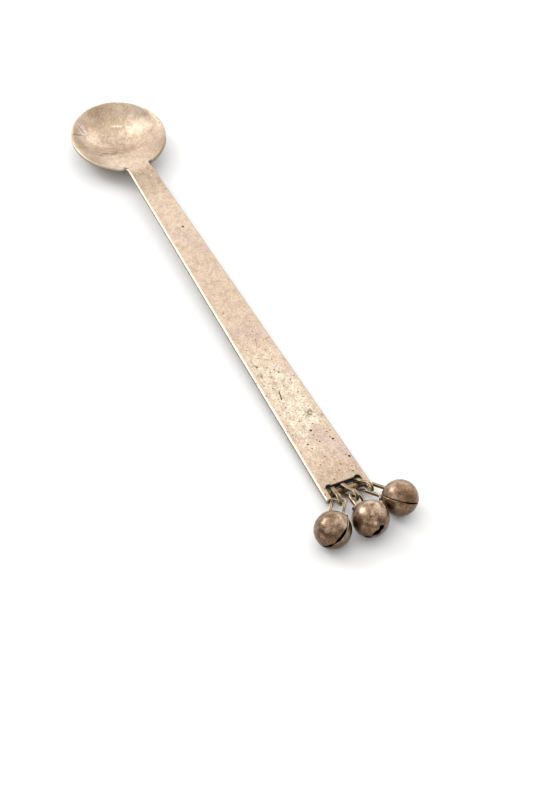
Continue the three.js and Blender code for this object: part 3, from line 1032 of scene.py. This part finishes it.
def loop(side):
    hang = place_of(f"bell_{side}_nod")
    stand = (place_of(f"pellet_{side}_roll") - hang).length
    over = BELL_RADIUS + FOOT_LIFT
    steps = range(FOOT_PARTS + 1)
    splay = [radians(FOOT_START + (FOOT_SPLAY - FOOT_START) * i / FOOT_PARTS) for i in steps]
    foot = [(stand - over * cos(a), over * sin(a)) for a in splay]
    shares = [FOOT_THIN + (1 - FOOT_THIN) * (1 - i / FOOT_PARTS) for i in steps]
    leg_run = foot[0][0] - LEG_GAP - LOOP_CORNER
    leg = [(LOOP_CORNER + leg_run * i / LEG_PARTS, LOOP_HALF) for i in range(LEG_PARTS + 1)]
    inner = LOOP_HALF - LOOP_CORNER
    bend = [radians(90 * i / CORNER_PARTS) for i in range(1, CORNER_PARTS)]
    curve = [(LOOP_CORNER - LOOP_CORNER * sin(a), inner + LOOP_CORNER * cos(a)) for a in bend]
    half = foot[::-1] + leg[::-1] + curve
    weight = shares[::-1] + [1.0] * (len(leg) + len(curve))
    top = [(0.0, inner * (1 - i / TOP_PARTS)) for i in range(1, TOP_PARTS * 2)]
    arch = half + top + [(x, -y) for x, y in half[::-1]]
    weights = weight + [1.0] * len(top) + weight[::-1]
    turn = bell_turn(side, LOOP_ROLL[side])
    path = [hang + turn @ Vector((x, y, 0)) for x, y in arch]
    return bent_wire(f"strap_loop_{side}", path, STRAP_THICKNESS, weights, turn @ Vector((0, 0, 1)))


loops = {side: loop(side) for side in SIDES}

# %% [markdown]
# ## The bells
#
# A jingle bell is two pressed cups, soldered rim to rim, with a slit along the seam and a round
# hole at each end of the slit. A cup follows a rule: its rim is level, except that it steps up
# along the slit and rises over each hole. So the tree starts from a plain grid and bends it: one
# side of the grid runs round the cup, the other runs down the inside, over the lip and back up the
# outside. Columns crowd together at the holes, which keeps them round.

# %% Tree that forms a bell cup
PINCH_REACH = 0.16
SLIT_TAPER = 0.3
BEAD_REACH = 0.35
SEAM_REACH = 0.9
CUP_COLUMNS = 241
CUP_ROWS = 49
INNER_SHARE = 12 / 48
LIP_SHARE = 8 / 48


def cup_tree():
    wire, sizes = start_tree("bell_cup", {
        "Radius": FLOAT, "Wall": FLOAT, "Seam": FLOAT, "Slit": FLOAT, "Half span": FLOAT,
        "Low hole": FLOAT, "High hole": FLOAT, "Pinch at": FLOAT, "Pinch": FLOAT, "Bead": FLOAT,
        "Dents": FLOAT, "Turn": VECTOR, "Middle": VECTOR, "Metal": MATERIAL,
    })
    fineness = {"Size X": 1, "Size Y": 1, "Vertices X": CUP_COLUMNS, "Vertices Y": CUP_ROWS}
    grid = wire.node("GeometryNodeMeshGrid", None, fineness)
    u, v, _ = wire.node("GeometryNodeInputPosition").axes()
    v = v + 0.5
    inner = (v / INNER_SHARE).least(1.0)
    lip = ((v - INNER_SHARE) / LIP_SHARE).least(1.0).most(0.0)
    outer = ((v - INNER_SHARE - LIP_SHARE) / (1 - INNER_SHARE - LIP_SHARE)).most(0.0) ** 1.5

    around = u * 2 * pi
    ends = ((sizes["Low hole"], sizes["Half span"] * -1), (sizes["High hole"], sizes["Half span"]))
    crowded = around
    for hole, end in ends:
        half_hole = hole / sizes["Radius"]
        share = ((around - end) / half_hole).least(1.0).most(-1.0)
        crowded = crowded + half_hole * ((share * (pi / 2)).math("SINE") - share)
    pinch = (crowded - sizes["Pinch at"]) / PINCH_REACH
    narrow = 1 - sizes["Pinch"] * (pinch * pinch * -1).math("EXPONENT")
    left_over = (sizes["Half span"] - crowded.math("ABSOLUTE")) / SLIT_TAPER
    taper = left_over.least(1.0).most(0.0) ** 0.5
    rise = (sizes["Slit"] * narrow * taper).most(sizes["Seam"])
    for hole, end in ends:
        away = (crowded - end) * sizes["Radius"]
        rise = rise.most((hole * hole - away * away).most(0.0) ** 0.5)

    half_wall = sizes["Wall"] / 2
    start = (rise + half_wall) / sizes["Radius"]
    start = start.math("ARCSINE")
    latitude = start + (pi / 2 - start) * (1 - inner + outer)
    tuck = lip * pi
    latitude = latitude - half_wall / sizes["Radius"] * tuck.math("SINE")
    radius = sizes["Radius"] - half_wall - half_wall * tuck.math("COSINE")
    above = (latitude - start) * sizes["Radius"]
    near = above / (BEAD_REACH * MM)
    bead = (near * near * -1).math("EXPONENT")
    radius = radius - sizes["Bead"] * (1 - bead) * lip

    flat = latitude.math("COSINE")
    ahead = flat * crowded.math("COSINE")
    aside = flat * crowded.math("SINE")
    sphere = wire.point(ahead, aside, latitude.math("SINE"))
    lumps = sphere.vector("ADD", sizes["Middle"].scaled(1 / MM)).noise(1.6, 2.0)
    radius = radius - sizes["Dents"] * lumps
    seam = (1 - above / (SEAM_REACH * MM)).most(0.0) * lip.most(0.6)
    shape = marked(moved(grid, sphere.scaled(radius)), "seam", seam)
    placed = {"Geometry": shape, "Rotation": sizes["Turn"], "Translation": sizes["Middle"]}
    return end_tree(wire.node("GeometryNodeTransform", None, placed), sizes["Metal"])


bell_cup = cup_tree()

# %% [markdown]
# The three bells differ in size, in how they lie and in how their slits were cut. Each slit is
# pinched at one place. The angles are in degrees.

# %% Cups of the three bells
BELL_WALL = 0.4
SEAM_LINE = 0.05
SEAM_BEAD = 0.07
CUP_DENTS = 0.04
SLIT_SPAN = 100
HALVES = ("upper", "lower")
BELL_FACTS = ("radius", "roll", "slit_turn", "slit", "holes", "pinch_at", "pinch")
BELLS = {
    "left": (4.6, 39, 31, 0.42, (0.55, 0.12), -11, 0.8),
    "middle": (4.55, 42, -37, 0.75, (0.6, 0.75), 8, 0.85),
    "right": (4.5, -37, -10, 0.17, (0.1, 0.5), 20, 0.4),
}


def cup(side, half):
    """The lower cup is the upper one turned over, so its slit runs the other way."""
    facts = dict(zip(BELL_FACTS, BELLS[side]))
    turn = bell_turn(side, facts["roll"]) @ Matrix.Rotation(radians(facts["slit_turn"]), 3, "Z")
    low_hole, high_hole = facts["holes"]
    pinch_at = radians(facts["pinch_at"])
    if half == "lower":
        turn = turn @ Matrix.Rotation(pi, 3, "X")
        low_hole, high_hole = high_hole, low_hole
        pinch_at = -pinch_at
    turn = turn.to_euler("XYZ")
    return grown(f"bell_{half}_{side}", bpy.data.meshes.new("empty"), bell_cup, {
        "Radius": facts["radius"] * MM, "Wall": BELL_WALL * MM, "Seam": SEAM_LINE * MM,
        "Slit": facts["slit"] * MM, "Half span": radians(SLIT_SPAN / 2),
        "Low hole": low_hole * MM, "High hole": high_hole * MM, "Pinch at": pinch_at,
        "Pinch": facts["pinch"], "Bead": SEAM_BEAD * MM, "Dents": CUP_DENTS * MM,
        "Turn": tuple(turn), "Middle": tuple(place_of(f"pellet_{side}_roll") * MM),
        "Metal": bell_metal,
    })


cups = {(side, half): cup(side, half) for side in SIDES for half in HALVES}

# %% [markdown]
# ## The pellets
#
# A loose pellet makes the bell ring. It is a bit of shot, so a fine sphere is dented by a few
# gentle waves until no two directions are quite alike.

# %% Pellets
PELLET_RADIUS = 1.5
SHOT_DENT = 0.05


def pellet(side):
    low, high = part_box(f"bell_{side}_pellet")
    middle = (low + high) / 2 / MM
    work = bmesh.new()
    bmesh.ops.create_icosphere(work, subdivisions=4, radius=PELLET_RADIUS)
    for vertex in work.verts:
        way = vertex.co.normalized()
        dent = sin(way.x * 5 + middle.x) * sin(way.y * 4 + middle.y) * sin(way.z * 6)
        vertex.co = (middle + way * (PELLET_RADIUS - SHOT_DENT * (1 + dent))) * MM
    mesh = bpy.data.meshes.new("shot")
    work.to_mesh(mesh)
    work.free()
    mesh.materials.append(shot_metal)
    return mesh_piece(f"shot_pellet_{side}", mesh)


pellets = {side: pellet(side) for side in SIDES}

# %% [markdown]
# ## Riding on the bodies
#
# Each finished piece stands for one solid of the frame and rides on that solid's body, so the
# hinges move the looks exactly as they move the mechanism.


# %% Ride and replace
def dress(piece, body, node):
    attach(piece, body)
    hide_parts(node)


dress(spoon_body, "spoon", "spoon_body")
dress(bar, "spoon", "cross_bar")
for side in SIDES:
    dress(links[side], f"link_{side}", f"link_{side}")
    dress(loops[side], f"bell_{side}", f"bell_{side}_loop")
    for half in HALVES:
        dress(cups[side, half], f"bell_{side}", f"bell_{side}_{half}_cup")
    dress(pellets[side], f"pellet_{side}", f"bell_{side}_pellet")

# %% [markdown]
# ## Table, light and camera
#
# The spoon lies on a white table, a plain matt plane that keeps the soft shadows. The camera sees it
# a little darker than the metal does, so that the shadows show while the spoon still mirrors a
# bright table.

# %% Table and room
FLOOR_SIZE = 6.0
FLOOR_DROP = 0.00002
FLOOR_WHITE = (0.78, 0.78, 0.78)
FLOOR_SEEN = (0.71, 0.71, 0.71)
ROOM_COLOUR = (1.0, 0.99, 0.97, 1.0)
ROOM_LIGHT = 0.58


def table_finish():
    material, wire = empty_material("white_table")
    seen = wire.node("ShaderNodeLightPath", output="Is Camera Ray")
    white = painted(FLOOR_WHITE, (seen, FLOOR_SEEN))
    matt = wire.node("ShaderNodeBsdfDiffuse", None, {"Color": white})
    wire.node("ShaderNodeOutputMaterial", None, {"Surface": matt})
    return material


half = FLOOR_SIZE / 2
floor_mesh = bpy.data.meshes.new("table")
corners = [(-half, -half, 0), (half, -half, 0), (half, half, 0), (-half, half, 0)]
floor_mesh.from_pydata(corners, [], [(0, 1, 2, 3)])
floor_mesh.transform(Matrix.Translation((0, 0, -FLOOR_DROP)))
floor_mesh.materials.append(table_finish())
floor = in_scene("table", floor_mesh)

world = bpy.data.worlds.new("room")
world.use_nodes = True
background = world.node_tree.nodes["Background"].inputs
background["Color"].default_value = ROOM_COLOUR
background["Strength"].default_value = ROOM_LIGHT
bpy.context.scene.world = world

# %% [markdown]
# Metal shows its surroundings, so each lamp stands where some part of the spoon mirrors it. The
# window draws the white line along the handle and the spots on the bells, the wide lamps fill the
# flat faces and the bowl's walls, and the small one in front adds a glint.

# %% Lamps
SPOON_MIDDLE = Vector((0.09, 0.0, 0.0))


def soft_light(name, direction, distance, size, radiance):
    """An area lamp that faces the spoon. Its radiance is how bright it looks in a mirror."""
    lamp = bpy.data.lights.new(name, "AREA")
    lamp.shape = "RECTANGLE"
    lamp.size, lamp.size_y = size
    lamp.energy = radiance * pi * size[0] * size[1]
    holder = in_scene(name, lamp)
    away = Vector(direction).normalized()
    holder.location = SPOON_MIDDLE + away * distance
    holder.rotation_euler = away.to_track_quat("Z", "Y").to_euler()


soft_light("window", (-0.62, -0.48, 0.62), 1.0, (0.40, 0.40), 7.2)
soft_light("overhead", (-0.56, 0.25, 0.79), 1.0, (1.6, 1.9), 1.16)
soft_light("over_camera", (0.42, -0.38, 0.82), 1.0, (2.0, 1.3), 0.9)
soft_light("backdrop", (-0.93, 0.32, 0.22), 1.2, (2.0, 0.6), 1.5)
soft_light("right_side", (-0.02, 0.92, 0.40), 1.0, (1.3, 1.0), 1.05)
soft_light("front_fill", (0.95, 0.05, 0.31), 1.1, (0.16, 0.16), 5.0)

# %% [markdown]
# The camera looks down at the handle's end from the front, at about 45 degrees, with the bowl
# furthest away. A lens of about 100 mm keeps the perspective of a photograph taken from half a
# metre, and a slight roll matches how the camera was held.

# %% Camera
CAMERA_PLACE = (0.45405, -0.16244, 0.38925)
CAMERA_AIM = (0.10535, -0.00386, 0.0)
CAMERA_ROLL = -0.723
CAMERA_LENS = 99.0
CAMERA_REACH = 20.0

camera_data = bpy.data.cameras.new("camera")
camera_data.lens = CAMERA_LENS
camera_data.clip_end = CAMERA_REACH
camera = in_scene("camera", camera_data)
look = (Vector(CAMERA_AIM) - Vector(CAMERA_PLACE)).to_track_quat("-Z", "Y").to_matrix().to_4x4()
roll = Matrix.Rotation(radians(CAMERA_ROLL), 4, "Z")
camera.matrix_world = Matrix.Translation(CAMERA_PLACE) @ look @ roll
bpy.context.scene.camera = camera
bpy.context.scene.view_settings.view_transform = "Standard"
